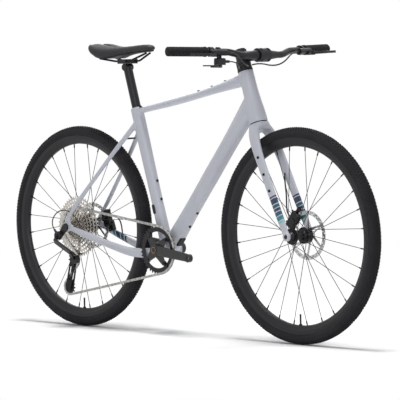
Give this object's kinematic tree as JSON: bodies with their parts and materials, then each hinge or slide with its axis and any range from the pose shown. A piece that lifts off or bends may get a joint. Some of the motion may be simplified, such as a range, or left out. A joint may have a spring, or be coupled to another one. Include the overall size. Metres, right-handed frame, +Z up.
{
  "type": "gravel bicycle",
  "caption": "Flat-bar gravel bicycle with a sloping diamond frame, rigid fork, spoked wheels, hydraulic disc brakes and a single-ring derailleur drivetrain; wheels, bar, crank and levers move.",
  "frame": {"origin": "on the ground, midway between the two axles and in the wheels' middle plane", "axes": "+X forward, +Y to the rider's left, +Z up; the drivetrain is on the -Y side"},
  "size_m": [1.7599, 0.739, 0.9861],
  "materials": {
    "frame_paint": "satin paint",
    "tyre_rubber": "matt",
    "black_alloy": "black anodised",
    "black_steel": "black coated",
    "bright_steel": "brushed",
    "warm_steel": "nickel plated",
    "chain_steel": "nickel plated",
    "black_plastic": "matt",
    "grip_rubber": "matt",
    "saddle_skin": "matt synthetic",
    "hose_jacket": "satin"
  },
  "bodies": {
    "frame": {"frame": "frame_paint", "frame_bolts": "black_steel", "frame_trim": "black_plastic", "rear_caliper": "black_alloy", "headset_bearings": "bright_steel", "bottom_bracket_cups": "black_alloy", "derailleur_hanger": "black_alloy", "derailleur_body": "black_alloy", "rear_thru_axle": "black_alloy", "seat_clamp_wedge": "black_alloy", "rear_brake_hose": "hose_jacket", "shift_cable_rear": "hose_jacket", "chain": "chain_steel"},
    "steering": {"fork": "frame_paint", "front_caliper": "black_alloy", "headset_stack": "black_alloy", "steering_bolts": "black_steel", "stem": "black_alloy", "stem_faceplate": "black_alloy", "handlebar": "black_alloy", "grip_left": "grip_rubber", "grip_right": "grip_rubber", "brake_master_left": "black_alloy", "brake_master_right": "black_alloy", "shifter_body": "black_plastic", "front_thru_axle": "black_alloy", "front_brake_hose": "hose_jacket", "rear_brake_hose_front": "hose_jacket", "shift_cable_front": "hose_jacket"},
    "front_wheel": {"front_tyre": "tyre_rubber", "front_rim": "black_alloy", "front_hub": "black_alloy", "front_spokes": "black_steel", "front_rotor": "bright_steel"},
    "rear_wheel": {"rear_tyre": "tyre_rubber", "rear_rim": "black_alloy", "rear_hub": "black_alloy", "rear_spokes": "black_steel", "rear_rotor": "bright_steel"},
    "cassette": {"cassette": "warm_steel", "freehub": "bright_steel"},
    "crankset": {"crank_arm_right": "black_alloy", "crank_arm_left": "black_alloy", "chainring": "black_steel"},
    "derailleur_inner_link": {"derailleur_inner_link": "black_alloy"},
    "derailleur_outer_link": {"derailleur_outer_link": "black_alloy"},
    "derailleur_knuckle": {"derailleur_knuckle": "black_alloy"},
    "derailleur_cage": {"derailleur_cage": "black_steel"},
    "guide_pulley": {"guide_pulley": "black_plastic"},
    "tension_pulley": {"tension_pulley": "black_plastic"},
    "brake_lever_left": {"brake_lever_left": "black_alloy"},
    "brake_lever_right": {"brake_lever_right": "black_alloy"},
    "shift_thumb_lever": {"shift_thumb_lever": "black_plastic"},
    "shift_release_lever": {"shift_release_lever": "black_plastic"},
    "seatpost": {"seatpost": "black_alloy", "saddle_clamp": "black_alloy"},
    "saddle": {"saddle_cover": "saddle_skin", "saddle_base": "black_plastic", "saddle_rails": "black_steel"}
  },
  "joints": [
    {"name": "steering_turn", "type": "hinge", "parent": "frame", "child": "steering", "pos_m": [0.3564, 0, 0.7124], "axis": [-0.3173, 0, 0.9483], "range_deg": [-60, 60]},
    {"name": "front_wheel_spin", "type": "hinge", "parent": "steering", "child": "front_wheel", "pos_m": [0.529, 0, 0.351], "axis": [0, 1, 0], "continuous": true},
    {"name": "rear_wheel_spin", "type": "hinge", "parent": "frame", "child": "rear_wheel", "pos_m": [-0.529, 0, 0.351], "axis": [0, 1, 0], "continuous": true},
    {"name": "crank_spin", "type": "hinge", "parent": "frame", "child": "crankset", "pos_m": [-0.09181, 0, 0.286], "axis": [0, 1, 0], "continuous": true, "deforming": ["chain"]},
    {"name": "cassette_spin", "type": "hinge", "parent": "frame", "child": "cassette", "pos_m": [-0.529, 0, 0.351], "axis": [0, 1, 0], "continuous": true},
    {"name": "derailleur_shift", "type": "hinge", "parent": "frame", "child": "derailleur_inner_link", "pos_m": [-0.571, -0.0892, 0.296], "axis": [0.2208, 0.6991, 0.6801], "range_deg": [-32, 13]},
    {"name": "derailleur_outer_swing", "type": "hinge", "parent": "frame", "child": "derailleur_outer_link", "pos_m": [-0.56237, -0.09904, 0.30332], "axis": [0.2208, 0.6991, 0.6801], "range_deg": [-32, 13]},
    {"name": "derailleur_level", "type": "hinge", "parent": "derailleur_inner_link", "child": "derailleur_knuckle", "pos_m": [-0.512, -0.06795, 0.255], "axis": [0.2208, 0.6991, 0.6801], "range_deg": [-13, 32]},
    {"name": "cage_swing", "type": "hinge", "parent": "derailleur_knuckle", "child": "derailleur_cage", "pos_m": [-0.516, -0.045, 0.237], "axis": [0, 1, 0], "range_deg": [-26, 64]},
    {"name": "guide_pulley_spin", "type": "hinge", "parent": "derailleur_cage", "child": "guide_pulley", "pos_m": [-0.54334, -0.031, 0.23445], "axis": [0, 1, 0], "continuous": true},
    {"name": "tension_pulley_spin", "type": "hinge", "parent": "derailleur_cage", "child": "tension_pulley", "pos_m": [-0.5692, -0.031, 0.13739], "axis": [0, 1, 0], "continuous": true},
    {"name": "brake_lever_left_pull", "type": "hinge", "parent": "steering", "child": "brake_lever_left", "pos_m": [0.39101, 0.22616, 0.93543], "axis": [0.0043, -0.0216, 0.9998], "range_deg": [0, 22], "stiffness_Nm_per_rad": 1.5, "springref_deg": -11.46},
    {"name": "brake_lever_right_pull", "type": "hinge", "parent": "steering", "child": "brake_lever_right", "pos_m": [0.39101, -0.22616, 0.93543], "axis": [-0.0043, -0.0216, -0.9998], "range_deg": [0, 22], "stiffness_Nm_per_rad": 1.5, "springref_deg": -11.46},
    {"name": "thumb_lever_push", "type": "hinge", "parent": "steering", "child": "shift_thumb_lever", "pos_m": [0.36724, -0.18145, 0.90116], "axis": [0.0043, 0.0216, 0.9998], "range_deg": [0, 32], "stiffness_Nm_per_rad": 0.3, "springref_deg": -11.46},
    {"name": "release_lever_pull", "type": "hinge", "parent": "steering", "child": "shift_release_lever", "pos_m": [0.36722, -0.18154, 0.89676], "axis": [-0.0043, -0.0216, -0.9998], "range_deg": [0, 14], "stiffness_Nm_per_rad": 0.3, "springref_deg": -11.46},
    {"name": "seatpost_slide", "type": "slide", "parent": "frame", "child": "seatpost", "axis": [-0.284, 0, 0.9588], "range_m": [-0.1, 0.045]},
    {"name": "saddle_slide", "type": "slide", "parent": "seatpost", "child": "saddle", "axis": [1, 0, 0], "range_m": [-0.012, 0.012]}
  ],
  "couplings": [
    {"joint": "cassette_spin", "follows": "crank_spin", "ratio": 1.2121},
    {"joint": "guide_pulley_spin", "follows": "crank_spin", "ratio": -3.0769},
    {"joint": "tension_pulley_spin", "follows": "crank_spin", "ratio": 3.0769},
    {"joint": "derailleur_outer_swing", "follows": "derailleur_shift", "ratio": 1},
    {"joint": "derailleur_level", "follows": "derailleur_shift", "ratio": -1},
    {"joint": "cage_swing", "follows": "derailleur_shift", "ratio": -2}
  ]
}
